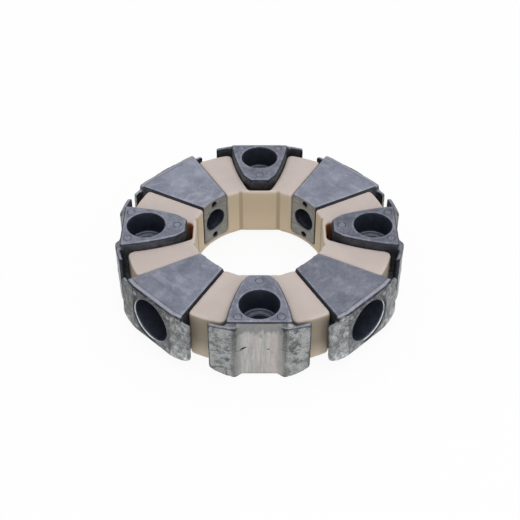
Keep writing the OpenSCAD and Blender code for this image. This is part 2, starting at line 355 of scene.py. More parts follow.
@dataclass
class Skin:
    """The surface of a piece: points, faces, and values for the finish."""

    points: np.ndarray
    faces: np.ndarray
    normals: np.ndarray = field(init=False)
    values: dict[Value, np.ndarray] = field(default_factory=dict)

    def __post_init__(self) -> None:
        """Turn the faces outward and work out the normals."""
        a, b, c, d = (self.points[self.faces[:, i]] for i in range(4))
        across = np.cross(c - a, d - b)
        if np.einsum("ij,ij->", (a + c) * 0.5, across) < 0.0:
            self.faces = self.faces[:, ::-1]
            across = -across
        self.normals = np.zeros_like(self.points)
        for i in range(4):
            np.add.at(self.normals, self.faces[:, i], across)
        length = np.linalg.norm(self.normals, axis=1, keepdims=True)
        self.normals /= np.maximum(length, SHORTEST)

    def push(self, distance: np.ndarray) -> None:
        """Move each point along its normal by its own distance in millimetres."""
        self.points = self.points + self.normals * distance[:, None]

    def read_form(self, block: FieldBlock, fine: float, broad: float) -> None:
        """Store how much each point stands on an edge or lies in a hollow.

        Args:
            block: The solid's distance field.
            fine: The blur in millimetres that finds edges.
            broad: The blur in millimetres that finds hollows.
        """
        cap = CAP_REACH * broad
        capped = FieldBlock(np.clip(block.values, -cap, cap), block.corner, block.voxel)
        self.values[Value.EDGE] = capped.blurred(fine).at(self.points) / fine
        self.values[Value.HOLLOW] = -capped.blurred(broad).at(self.points) / broad
        self.values[Value.UP] = self.normals[:, 2]

    def object(self, name: str, turn: float) -> bpy.types.Object:
        """Make the Blender object of the skin.

        Args:
            name: The name of the piece.
            turn: How far it is turned about the axis, in degrees.

        Returns:
            The object, linked to the scene.
        """
        mesh = bpy.data.meshes.new(name)
        placed = spun(self.points, turn) / MM
        mesh.from_pydata(placed.tolist(), [], self.faces.tolist())
        mesh.shade_smooth()
        for value, numbers in self.values.items():
            vector = numbers.ndim == 2
            kind, slot = ("FLOAT_VECTOR", "vector") if vector else ("FLOAT", "value")
            layer = mesh.attributes.new(value.value, kind, "POINT")
            layer.data.foreach_set(slot, numbers.astype(np.float32).ravel())
        mesh.update()
        piece = bpy.data.objects.new(name, mesh)
        bpy.context.scene.collection.objects.link(piece)
        return piece


@dataclass(frozen=True)
class Cloud:
    """A kind of noise: how many of its features fit in a millimetre, and how it is layered."""

    scale: float
    detail: float = 3.0
    roughness: float = 0.55
    distortion: float = 0.0
    stretch: Triple = (1.0, 1.0, 1.0)


@dataclass(frozen=True)
class Span:
    """The two bounds that a number is eased between, and what it gives at each."""

    low: float
    high: float
    first: float = 0.0
    last: float = 1.0


class Wiring:
    """Adds nodes to one tree and links them."""

    def __init__(self, tree: bpy.types.NodeTree) -> None:
        """Take hold of a node tree."""
        self.nodes, self.links = tree.nodes, tree.links

    def feed(self, socket: Socket, source: Socket | float | tuple) -> None:
        """Give a socket a link or a constant.

        Args:
            socket: The input socket.
            source: The output socket to link, or the constant.
        """
        if isinstance(source, bpy.types.NodeSocket):
            self.links.new(source, socket)
        elif isinstance(source, tuple) and len(socket.default_value) == 4:
            socket.default_value = (*source, 1.0)
        else:
            socket.default_value = source

    def node(self, kind: str, *sources: Socket | float | tuple, **settings: str) -> Node:
        """Add a node.

        Args:
            kind: Its type.
            sources: What its first inputs get, in order.
            settings: Its properties.

        Returns:
            The node.
        """
        node = self.nodes.new(f"ShaderNode{kind}")
        for name, setting in settings.items():
            setattr(node, name, setting)
        for socket, source in zip(node.inputs, sources):
            self.feed(socket, source)
        return node

    def calc(self, operation: str, first: Socket | float, second: Socket | float = 0.0) -> Socket:
        """Combine two numbers by a named operation."""
        return self.node("Math", first, second, operation=operation).outputs[0]

    def seen_directly(self) -> Socket:
        """Tell the rays that show the backdrop from those that light the object.

        Returns:
            1 for camera, glossy and transmission rays.
        """
        path = self.node("LightPath")
        total = path.outputs["Is Camera Ray"]
        for name in ("Is Glossy Ray", "Is Transmission Ray"):
            total = self.calc("MAXIMUM", total, path.outputs[name])
        return total


class Board(Wiring):
    """Lays out the nodes of one material."""

    def __init__(self, name: str) -> None:
        """Start a material with its shader, its output and the place of each point.

        Args:
            name: The material's name.
        """
        self.material = bpy.data.materials.new(name)
        self.material.use_nodes = True
        super().__init__(self.material.node_tree)
        self.shader = self.nodes["Principled BSDF"]
        self.far, self.side, self.height = self.node(
            "SeparateXYZ", self.vector(Value.PLACE)
        ).outputs
        self.across = self.calc("ABSOLUTE", self.side)

    def value(self, which: Value) -> Socket:
        """Read a number that the vertices carry."""
        return self.node("Attribute", attribute_name=which.value).outputs["Fac"]

    def vector(self, which: Value, stretch: Triple = (1.0, 1.0, 1.0)) -> Socket:
        """Read a vector that the vertices carry.

        Args:
            which: The vector's name.
            stretch: How much each of its axes is stretched.

        Returns:
            The stretched vector.
        """
        read = self.node("Attribute", attribute_name=which.value).outputs["Vector"]
        if stretch == (1.0, 1.0, 1.0):
            return read
        return self.node("VectorMath", read, stretch, operation="MULTIPLY").outputs[0]

    def noise(self, cloud: Cloud, span: Span | None = None) -> Socket:
        """Add a cloud of noise.

        Args:
            cloud: The kind of noise.
            span: How it is eased.

        Returns:
            The noise, from 0 to 1 unless the span says otherwise.
        """
        node = self.node("TexNoise", self.vector(Value.GRAIN, cloud.stretch))
        for name in ("scale", "detail", "roughness", "distortion"):
            node.inputs[name.title()].default_value = getattr(cloud, name)
        return self.band(node.outputs["Fac"], span) if span else node.outputs["Fac"]

    def times(self, first: Socket, *others: Socket | float) -> Socket:
        """Multiply numbers.

        Args:
            first: The first number.
            others: The others.

        Returns:
            Their product.
        """
        for other in others:
            first = self.calc("MULTIPLY", first, other)
        return first

    def off(self, value: Socket, centre: float) -> Socket:
        """Measure how far a number lies from another, on either side."""
        return self.calc("ABSOLUTE", self.calc("SUBTRACT", value, centre))

    def band(self, value: Socket, span: Span) -> Socket:
        """Ease a number over a span.

        Args:
            value: The number.
            span: The span; its low bound may be the larger one.

        Returns:
            The eased number.
        """
        numbers = (span.low, span.high, span.first, span.last)
        if span.low > span.high:
            numbers = (span.high, span.low, span.last, span.first)
        return self.node("MapRange", value, *numbers, interpolation_type="SMOOTHSTEP").outputs[0]

    def between(self, value: Socket, rise: Span, fall: Span) -> Socket:
        """Ease a number in over one span and out over another."""
        return self.times(self.band(value, rise), self.band(value, fall))

    def blend(
        self,
        factor: Socket | float,
        under: Socket | Triple,
        over: Socket | Triple,
        mode: str = "MIX",
    ) -> Socket:
        """Lay one colour over another.

        Args:
            factor: How much of the upper colour shows.
            under: The lower colour.
            over: The upper colour.
            mode: How the two combine.

        Returns:
            The blended colour.
        """
        node = self.node("Mix", factor, data_type="RGBA", blend_type=mode)
        self.feed(node.inputs[MIX_UNDER], under)
        self.feed(node.inputs[MIX_OVER], over)
        return node.outputs[MIX_RESULT]

    def coated(self, colour: Socket, *coats: Coat) -> Socket:
        """Lay coats over a colour.

        Args:
            colour: The colour.
            coats: How much of each coat shows, and its colour, the lowest first.

        Returns:
            The colour with the coats.
        """
        for factor, over in coats:
            colour = self.blend(factor, colour, over)
        return colour

    def gained(self, colour: Socket, gain: Socket) -> Socket:
        """Lighten or darken a colour by a number."""
        grey = self.node("CombineColor", gain, gain, gain).outputs[0]
        return self.blend(1.0, colour, grey, "MULTIPLY")

    def tones(self, value: Socket, stops: Stops) -> Socket:
        """Turn a number into a colour.

        Args:
            value: The number.
            stops: Where each colour lies, and the colour.

        Returns:
            The colour.
        """
        node = self.node("ValToRGB", value)
        ramp = node.color_ramp
        while len(ramp.elements) < len(stops):
            ramp.elements.new(NOISE_MIDDLE)
        for element, (place, colour) in zip(ramp.elements, stops):
            element.position = place
            element.color = (*colour, 1.0)
        return node.outputs["Color"]

    def distance(self, centre: Triple, axes: Triple = (1.0, 1.0, 1.0)) -> Socket:
        """Measure how far each point lies from a centre, along the axes that count."""
        place = self.vector(Value.PLACE, axes)
        return self.node("VectorMath", place, centre, operation="DISTANCE").outputs["Value"]

    def bump(self, height: Socket, depth_mm: float, under: Socket | None = None) -> Socket:
        """Raise a fine relief on the surface.

        Args:
            height: The relief, from 0 to 1.
            depth_mm: What a height of 1 stands for, in millimetres.
            under: A relief that this one lies on.

        Returns:
            The normal to shade with.
        """
        node = self.node("Bump")
        node.inputs["Distance"].default_value = depth_mm / MM
        self.feed(node.inputs["Height"], height)
        if under is not None:
            self.feed(node.inputs["Normal"], under)
        return node.outputs["Normal"]

    def dressed(self, inputs: dict[str, Socket | float | tuple]) -> bpy.types.Material:
        """Give the shader its inputs.

        Args:
            inputs: What each input gets, by its name.

        Returns:
            The material.
        """
        for name, source in inputs.items():
            self.feed(self.shader.inputs[name], source)
        return self.material


@dataclass(frozen=True)
class CastSkinTone:
    """The as-cast skin: smudged on top, greyer and rougher on the outer faces. The bluish cast of
    the top tones is a painted reflection, and the darker side tones are painted shade on the
    upright sides.
    """

    # painted reflection: the bluish cast of the top tones
    top: Stops = (
        (0.28, (0.105, 0.113, 0.148)),
        (0.50, (0.150, 0.160, 0.205)),
        (0.72, (0.215, 0.226, 0.275)),
    )
    # painted shade: the upright sides are painted darker than the tops
    side: Stops = (
        (0.30, (0.050, 0.052, 0.060)),
        (0.70, (0.115, 0.120, 0.138)),
    )
    outer: Stops = (
        (0.32, (0.170, 0.180, 0.178)),
        (0.50, (0.290, 0.298, 0.294)),
        (0.66, (0.400, 0.408, 0.406)),
    )
    wing: Stops = (
        (0.38, (0.120, 0.127, 0.126)),
        (0.46, (0.240, 0.248, 0.245)),
        (0.51, (0.345, 0.353, 0.350)),
        (0.64, (0.420, 0.428, 0.426)),
    )
    smear: Triple = (0.340, 0.350, 0.395)
    vein: Triple = (0.045, 0.048, 0.052)
    pit: Triple = (0.006, 0.006, 0.007)
    # painted highlight colour, also used for the pin discs and beside the cracks
    painted_highlight_and_wear: Triple = (0.430, 0.440, 0.480)
    # painted shade colour for edges and hollows, also the dark ejector rings
    painted_shade_and_dirt: Triple = (0.022, 0.026, 0.038)
    cloud: Cloud = Cloud(0.13, 5.0, 0.6, 0.5)
    swirl: Cloud = Cloud(0.08, 4.0, 0.5, 1.6, (1.0, 0.5, 1.0))
    swirl_share: Span = Span(0.5, 0.72, 0.0, 0.2)
    scuff: Cloud = Cloud(0.1, 3.0, 0.6, 1.8)
    scuff_line: Span = Span(0.02, 0.0, 0.0, 0.22)
    facing_up: Span = Span(0.35, 0.75)
    speckle: Cloud = Cloud(1.3, 2.0, 0.7)
    speckle_gain: Span = Span(0.3, 0.7, 0.76, 1.24)
    patch: Cloud = Cloud(0.15, 8.0, 0.62, 0.6)
    crackle: Cloud = Cloud(0.15, 5.0, 0.6, 1.3)
    crackle_line: Span = Span(0.014, 0.003, 0.0, 0.75)
    crackle_gaps: Cloud = Cloud(0.4, 3.0, 0.6)
    crackle_parts: Span = Span(0.42, 0.56)
    crackle_side: tuple[Span, Span] = (Span(0.012, 0.03), Span(0.05, 0.03, 0.0, 0.22))
    fleck: Cloud = Cloud(1.1, 3.0, 0.65)
    fleck_share: Span = Span(0.0, 0.05, 0.0, 0.75)
    fleck_limit: float = 0.66
    crowded_z: Span = Span(30.0, 41.0, 0.0, 0.11)
    crowded_y: Span = Span(27.0, 22.0)


@dataclass(frozen=True)
class MachinedTone:
    """A face cut by a tool: paler, with the streaks of the cut."""

    pale: Triple = (0.520, 0.508, 0.490)
    dull: Triple = (0.370, 0.362, 0.352)
    warm: Triple = (0.500, 0.440, 0.430)
    green: Triple = (0.400, 0.420, 0.385)
    upper: Triple = (0.225, 0.224, 0.228)
    inner_pale: Triple = (0.330, 0.322, 0.300)
    inner_dull: Triple = (0.175, 0.172, 0.160)
    # painted shade: the dark of the holes stands for the shade inside them
    bore: Triple = (0.070, 0.084, 0.118)
    bore_floor: Triple = (0.170, 0.185, 0.205)
    broad_streak: Cloud = Cloud(1.0, 5.0, 0.6, 0.4, (0.5, 0.42, 0.05))
    fine_streak: Cloud = Cloud(1.0, 3.0, 0.6, 0.0, (1.0, 2.1, 0.09))
    broad_share: float = 0.62
    streak_share: Span = Span(0.38, 0.62)
    tint: Cloud = Cloud(1.0, 2.0, stretch=(1.0, 0.2, 0.05))
    warm_tint: Span = Span(0.52, 0.7, 0.0, 0.55)
    green_tint: Span = Span(0.48, 0.3, 0.0, 0.5)
    warm_side: Span = Span(4.0, 10.0, 0.0, 0.35)
    slope_patch: Cloud = Cloud(0.3, 7.0, 0.7, 0.3)
    slope_y: Span = Span(12.0, 13.6, 0.0, 0.55)
    ragged: Cloud = Cloud(0.28, 5.0, 0.6, 0.0, (1.0, 1.0, 0.4))
    ragged_rise: Span = Span(0.25, 0.75, -5.0, 5.0)
    upper_z: Span = Span(38.5, 44.5, 0.0, 0.8)
    turning: Cloud = Cloud(1.0, 4.0, 0.6, 0.0, (0.08, 0.08, 1.6))
    turning_share: Span = Span(0.3, 0.7)
    inner_x: Span = Span(60.0, 56.0)
    floor_rings_per_mm: float = 2.4
    floor_ring: Span = Span(-0.6, 0.8)


@dataclass(frozen=True)
class RidgeTone:
    """The flaky dark soiling along the ridges beside the machined flat, with a painted shadow
    beside them.
    """

    at_y: float = 17.4
    dirt_and_shadow: Triple = (0.040, 0.043, 0.045)
    flakes: Cloud = Cloud(0.7, 5.0, 0.75, 0.4)
    flake_share: Span = Span(0.45, 0.5)
    flaky: Span = Span(2.4, 0.2)
    # painted shadow beside the ridge
    shadow: Span = Span(3.4, 0.6, 0.0, 0.48)
    upward: Span = Span(16.0, 34.0, 0.45)
    share: float = 0.92


@dataclass(frozen=True)
class SeamTone:
    """The parting line across the outer faces: a dark line with a painted highlight below it."""

    at_z: float = 26.2
    from_y: Span = Span(12.6, 13.8)
    wave: Cloud = Cloud(0.11, 4.0, 0.6, 0.0, (1.0, 1.0, 0.0))
    wave_range: Pair = (0.25, 0.75)
    wave_height: float = 1.7
    slope: float = 0.045
    gaps: Cloud = Cloud(0.3)
    parts: Span = Span(0.35, 0.5, 0.35)
    light_at: float = -0.75
    light: Span = Span(0.65, 0.1, 0.0, 0.45)
    dark: Span = Span(0.45, 0.1, 0.0, 0.85)


@dataclass(frozen=True)
class EdgeTone:
    """Painted highlight lines along the upper edges, broken up by noise, painted dark shade lines
    along the tilted edges, and painted shade in the hollows.
    """

    highlight_wear: Cloud = Cloud(0.16)
    highlight_wear_share: Span = Span(0.38, 0.6, 0.2)
    light: Span = Span(0.035, 0.1, 0.0, 0.22)
    light_up: Span = Span(0.85, 0.96)
    dark: Span = Span(0.14, 0.23, 0.0, 0.88)
    dark_up: Span = Span(0.93, 0.8)
    dark_share: Span = Span(0.0, 1.0, 1.0, 0.75)
    hollow: Span = Span(0.06, 0.5, 0.0, 0.7)
    # painted shade: a dark line along the top's outer edge
    rim_z: Span | None = Span(50.6, 51.1, 0.0, 0.9)


@dataclass(frozen=True)
class LipTone:
    """The painted highlight on the chamfer of the level hole and the painted shadow beside its
    lip, in millimetres from the hole's axis.
    """

    centre: Triple = (0.0, 0.0, 27.75)
    face_x: Span = Span(106.6, 107.4)
    # painted shadow beside the lip
    grime: Triple = (0.008, 0.010, 0.014)
    grime_ring: tuple[Span, Span] = (Span(17.7, 17.9), Span(21.0, 19.8))
    # painted highlight on the chamfer
    bright: Triple = (0.700, 0.710, 0.720)
    chamfer_highlight_ring: tuple[Span, Span] = (Span(16.95, 17.2), Span(17.8, 17.6))
    chamfer_highlight_share: Span = Span(0.0, 0.8, 0.22)
    gaps: Cloud = Cloud(0.25)
    parts: Span = Span(0.35, 0.55, 0.55)


@dataclass(frozen=True)
class TopStripTone:
    """The paler strip along the outer edge of a level top, partly rubbed metal and partly a
    painted highlight, with painted shade lines along it, in millimetres in from that edge.
    """

    edge_x: float = 108.4
    flat_half: float = 20.0
    wing_slope: float = 0.194
    top_z: Span = Span(45.7, 46.1)
    wear_and_highlight: Triple = (0.300, 0.308, 0.345)
    strip: tuple[Span, Span] = (Span(1.2, 1.8), Span(4.2, 3.2, 0.0, 0.85))
    inner_line_at: float = 4.5
    # painted shade lines along the strip
    inner_line: Span = Span(0.5, 0.1, 0.0, 0.4)
    outer_line_at: float = 0.6
    outer_line: Span = Span(0.95, 0.5, 0.0, 0.92)


@dataclass(frozen=True)
class MetalRelief:
    """The fine relief of the metal, with its depths in millimetres."""

    lumps: Cloud = Cloud(0.5, 5.0, 0.65, 0.6)
    outer_share: Span = Span(0.0, 1.0, 0.45)
    streak_share: float = 0.5
    lump_depth: float = 0.32
    grain: Cloud = Cloud(1.1, 3.0, 0.6)
    grain_depth: float = 0.07
    mark_share: float = 0.5
    mark_depth: float = 0.3
    polish: Cloud = Cloud(0.3, 4.0)
    polish_span: Span = Span(0.3, 0.7, 0.42, 0.62)
    metallic: float = 0.85


@dataclass(frozen=True)
class PinMark:
    """The round mark that an ejector pin leaves on a casting."""

    centre: Triple
    radius: float = 2.9


@dataclass(frozen=True)
class PinTone:
    """How the ring and the disc of an ejector mark show."""

    ring: float = 0.85
    disc: float = 0.1
    line: Span = Span(0.42, 0.08)
    disc_edge: float = 0.5
    gaps: Cloud = Cloud(0.45, 2.0)
    parts: Span = Span(0.35, 0.55, 0.25)


@dataclass(frozen=True)
class Flaw:
    """A pit or a nick on an outer face, at a place across and up that face."""

    across: float
    height: float
    length: float
    width: float
    tilt: float
    depth: float

    def share(self, across: np.ndarray, height: np.ndarray) -> np.ndarray:
        """Tell how much of the flaw lies at each place.

        Args:
            across: The places across the face, in millimetres.
            height: Their heights, in millimetres.

        Returns:
            1 in the middle of the flaw, falling to 0 round it.
        """
        angle = math.radians(self.tilt)
        cos, sin = math.cos(angle), math.sin(angle)
        along = (across - self.across) * cos + (height - self.height) * sin
        aside = (height - self.height) * cos - (across - self.across) * sin
        return np.exp(-((2.0 * along / self.length) ** 2) - (2.0 * aside / self.width) ** 2)


@dataclass(frozen=True)
class CastingFinish:
    """The finish of one kind of insert."""

    name: str
    marks: tuple[PinMark, ...]
    cast: CastSkinTone = CastSkinTone()
    cut: MachinedTone = MachinedTone()
    seam: SeamTone = SeamTone()
    edge: EdgeTone = EdgeTone()
    pins: PinTone = PinTone()
    relief: MetalRelief = MetalRelief()
    ridge: RidgeTone | None = None
    lip: LipTone | None = None
    strip: TopStripTone | None = None
    crease_y: Span = Span(19.8, 20.8)
    low_gain: Span = Span(22.0, 8.0, 1.0, 1.0)
    wing_x: Span = Span(90.0, 94.0)
    bolt: Triple = (0.0, 0.0, 0.0)


class CastingPaint(Board):
    """Paints one kind of insert."""

    def __init__(self, finish: CastingFinish) -> None:
        """Start the material of a casting.

        Args:
            finish: The casting's finish.
        """
        super().__init__(finish.name)
        self.finish = finish
        self.up = self.value(Value.UP)
        self.machined = self.value(Value.MACHINED)
        self.outer = self.value(Value.OUTER)
        self.bare = self.calc("MAXIMUM", self.outer, self.machined)
        self.outward = self.times(self.bare, self.band(self.far, finish.wing_x))

    def paint(self) -> bpy.types.Material:
        """Lay every coat and give the metal its shine and relief.

        Returns:
            The material.
        """
        finish, cast, relief = self.finish, self.finish.cast, self.finish.relief
        streak = self._streak()
        ring, disc = self._pin_rings()
        colour = self.coated(
            self._cast_colour(),
            (self.machined, self._cut_colour(streak)),
            *self._ridge_coats(),
            *self._seam_coats(),
            *self._edge_coats(),
            # painted shade in the holes
            (self.value(Value.BORE), self._hole_colour()),
            *self._lip_coats(),
            (self.times(disc, finish.pins.disc), cast.painted_highlight_and_wear),
            (self.times(ring, finish.pins.ring), cast.painted_shade_and_dirt),
            (self.value(Value.PIT), cast.pit),
        )
        return self.dressed(
            {
                "Base Color": colour,
                "Metallic": relief.metallic,
                "Roughness": self.noise(relief.polish, relief.polish_span),
                "Normal": self._relief(streak, ring, disc),
            }
        )

    def _cast_colour(self) -> Socket:
        """Mix the as-cast tones.

        Returns:
            The colour of the cast skin.
        """
        cast = self.finish.cast
        cloud = self.noise(cast.cloud)
        scuff = self.off(self.noise(cast.scuff), NOISE_MIDDLE)
        top = self.coated(
            self.tones(cloud, cast.top),
            (self.noise(cast.swirl, cast.swirl_share), cast.smear),
            (self.band(scuff, cast.scuff_line), cast.vein),
        )
        # painted shade and reflection: darker side tones on upright faces, bluish top tones on
        # faces that point up
        colour = self.coated(
            self.tones(cloud, cast.side),
            (self.band(self.up, cast.facing_up), top),
            (self.outer, self._outer_colour()),
        )
        speckle = self.noise(cast.speckle, cast.speckle_gain)
        return self.gained(colour, self.times(speckle, self.value(Value.TONE)))

    def _outer_colour(self) -> Socket:
        """Mix the blotched and crackled tones of the outer faces.

        Returns:
            The colour of the outer faces.
        """
        cast = self.finish.cast
        patch = self.noise(cast.patch)
        crackle = self.off(self.noise(cast.crackle), NOISE_MIDDLE)
        line = self.times(
            self.band(crackle, cast.crackle_line),
            self.noise(cast.crackle_gaps, cast.crackle_parts),
        )
        crowd = self.times(
            self.band(self.height, cast.crowded_z), self.band(self.across, cast.crowded_y)
        )
        limit = self.calc("SUBTRACT", cast.fleck_limit, crowd)
        fleck = self.calc("SUBTRACT", self.noise(cast.fleck), limit)
        colour = self.coated(
            self.tones(patch, cast.outer),
            (self.band(self.across, self.finish.crease_y), self.tones(patch, cast.wing)),
            (line, cast.vein),
            # painted highlight beside the crackle lines
            (self.between(crackle, *cast.crackle_side), cast.painted_highlight_and_wear),
            (self.band(fleck, cast.fleck_share), cast.vein),
        )
        return self.gained(colour, self.band(self.height, self.finish.low_gain))

    def _streak(self) -> Socket:
        """Draw the streaks of the cut.

        Returns:
            The streaks, from 0 to 1.
        """
        cut = self.finish.cut
        broad = self.times(self.noise(cut.broad_streak), cut.broad_share)
        fine = self.times(self.noise(cut.fine_streak), 1.0 - cut.broad_share)
        return self.calc("ADD", broad, fine)

    def _cut_colour(self, streak: Socket) -> Socket:
        """Mix the machined tones.

        Args:
            streak: The streaks of the cut.

        Returns:
            The colour of the machined faces.
        """
        cut = self.finish.cut
        tint = self.noise(cut.tint)
        sloped = self.tones(self.noise(cut.slope_patch), self.finish.cast.outer)
        ragged = self.calc("ADD", self.height, self.noise(cut.ragged, cut.ragged_rise))
        turned = self.noise(cut.turning, cut.turning_share)
        return self.coated(
            self.blend(self.band(streak, cut.streak_share), cut.dull, cut.pale),
            (self.band(tint, cut.warm_tint), cut.warm),
            (self.band(tint, cut.green_tint), cut.green),
            (self.band(self.side, cut.warm_side), cut.warm),
            (self.band(self.across, cut.slope_y), sloped),
            (self.band(ragged, cut.upper_z), cut.upper),
            (
                self.band(self.far, cut.inner_x),
                self.blend(turned, cut.inner_dull, cut.inner_pale),
            ),
        )

    def _ridge_coats(self) -> list[Coat]:
        """Draw the flaky dark soiling and the painted shadow along the ridges.

        Returns:
            The coat, if the insert has ridges.
        """
        ridge = self.finish.ridge
        if ridge is None:
            return []
        off = self.off(self.across, ridge.at_y)
        flakes = self.times(
            self.band(off, ridge.flaky), self.noise(ridge.flakes, ridge.flake_share)
        )
        dirt_and_shadow = self.calc("MAXIMUM", flakes, self.band(off, ridge.shadow))
        upward = self.band(self.height, ridge.upward)
        return [(self.times(dirt_and_shadow, upward, self.outward, ridge.share), ridge.dirt_and_shadow)]

    def _seam_coats(self) -> list[Coat]:
        """Draw the parting line on the outer faces.

        Returns:
            The painted highlight below it and the dark coat of the line.
        """
        seam, cast = self.finish.seam, self.finish.cast
        low, high = seam.at_z - seam.wave_height, seam.at_z + seam.wave_height
        wave = self.noise(seam.wave, Span(*seam.wave_range, low, high))
        rise = self.calc("ADD", wave, self.times(self.side, seam.slope))
        above = self.calc("SUBTRACT", self.height, rise)
        drawn = self.times(
            self.band(self.across, seam.from_y), self.outward, self.noise(seam.gaps, seam.parts)
        )
        light = self.band(self.off(above, seam.light_at), seam.light)
        dark = self.band(self.off(above, 0.0), seam.dark)
        return [
            # painted highlight: a light line below the parting line
            (self.times(light, drawn), cast.painted_highlight_and_wear),
            (self.times(dark, drawn), cast.vein),
        ]

    def _edge_coats(self) -> list[Coat]:
        """Draw the painted highlight and painted shade lines along the edges, and the painted
        shade in the hollows.

        Returns:
            The coats.
        """
        tone, cast = self.finish.edge, self.finish.cast
        edge = self.value(Value.EDGE)
        wear_and_highlight = self.noise(tone.highlight_wear, tone.highlight_wear_share)
        light = self.times(self.band(edge, tone.light), self.band(self.up, tone.light_up), wear_and_highlight)
        dark = self.times(
            self.band(edge, tone.dark),
            self.band(self.up, tone.dark_up),
            self.band(self.bare, tone.dark_share),
        )
        # painted highlight on the upper edges, painted shade lines on tilted edges, painted shade
        # in the hollows
        coats = [
            (light, cast.painted_highlight_and_wear),
            (dark, cast.painted_shade_and_dirt),
            (self.band(self.value(Value.HOLLOW), tone.hollow), cast.painted_shade_and_dirt),
        ]
        if tone.rim_z:
            rim = self.times(self.band(self.height, tone.rim_z), self.outward)
            coats.append((rim, cast.painted_shade_and_dirt))
        return coats

    def _lip_coats(self) -> list[Coat]:
        """Draw the painted highlight on the chamfer of the level hole, the painted shadow beside
        its lip, and the paler strip along the top, partly rubbed metal and partly a painted
        highlight, with its painted shade lines.

        Returns:
            The coats, if the insert has a lip.
        """
        lip, strip, cast = self.finish.lip, self.finish.strip, self.finish.cast
        if lip is None or strip is None:
            return []
        parts = self.noise(lip.gaps, lip.parts)
        at_face = self.band(self.far, lip.face_x)
        reach = self.distance(lip.centre, (0.0, 1.0, 1.0))
        grime = self.times(self.value(Value.GRIME), at_face)
        bright = self.times(self.between(reach, *lip.chamfer_highlight_ring), at_face, parts)
        past = self.calc("MAXIMUM", self.calc("SUBTRACT", self.across, strip.flat_half), 0.0)
        edge = self.calc("SUBTRACT", strip.edge_x, self.times(past, strip.wing_slope))
        inward = self.calc("SUBTRACT", edge, self.far)
        shown = self.times(self.band(self.height, strip.top_z), parts)
        lines = self.calc(
            "MAXIMUM",
            self.band(self.off(inward, strip.inner_line_at), strip.inner_line),
            self.band(self.off(inward, strip.outer_line_at), strip.outer_line),
        )
        return [
            # painted shadow beside the lip, then the painted highlight on the chamfer
            (self.times(self.between(reach, *lip.grime_ring), grime), lip.grime),
            (self.times(bright, self.band(grime, lip.chamfer_highlight_share)), lip.bright),
            # paler strip, partly rubbed metal and partly a painted highlight, and its painted
            # shade lines
            (self.times(self.between(inward, *strip.strip), shown), strip.wear_and_highlight),
            (self.times(lines, shown), cast.painted_shade_and_dirt),
        ]

    def _hole_colour(self) -> Socket:
        """Mix the painted shade of the holes and the turned steps at their floors.

        Returns:
            The colour of the holes.
        """
        cut = self.finish.cut
        away = self.distance(self.finish.bolt, (1.0, 1.0, 0.0))
        rings = self.calc("SINE", self.times(away, cut.floor_rings_per_mm))
        step = self.blend(self.band(rings, cut.floor_ring), cut.bore, cut.bore_floor)
        return self.blend(self.value(Value.DEEP), cut.bore, step)

    def _pin_rings(self) -> tuple[Socket, Socket]:
        """Draw the rings round the ejector marks.

        Returns:
            The rings, and the discs inside them.
        """
        tone = self.finish.pins
        ring: Socket | float = 0.0
        disc: Socket | float = 0.0
        for mark in self.finish.marks:
            away = self.distance(mark.centre)
            line = self.band(self.off(away, mark.radius), tone.line)
            inside = self.band(away, Span(mark.radius, mark.radius - tone.disc_edge))
            ring = self.calc("MAXIMUM", line, ring)
            disc = self.calc("MAXIMUM", inside, disc)
        return self.times(ring, self.noise(tone.gaps, tone.parts)), disc

    def _relief(self, streak: Socket, ring: Socket, disc: Socket) -> Socket:
        """Give the metal its grain, tool marks and ejector marks.

        Args:
            streak: The streaks of the cut.
            ring: The rings of the ejector marks.
            disc: The discs inside the rings.

        Returns:
            The normal to shade with.
        """
        relief = self.finish.relief
        lumps = self.times(self.noise(relief.lumps), self.band(self.outer, relief.outer_share))
        lumps = self.blend(self.machined, lumps, self.times(streak, relief.streak_share))
        normal = self.bump(lumps, relief.lump_depth)
        normal = self.bump(self.noise(relief.grain), relief.grain_depth, normal)
        marks = self.calc("SUBTRACT", self.times(disc, relief.mark_share), ring)
        return self.bump(marks, relief.mark_depth, normal)


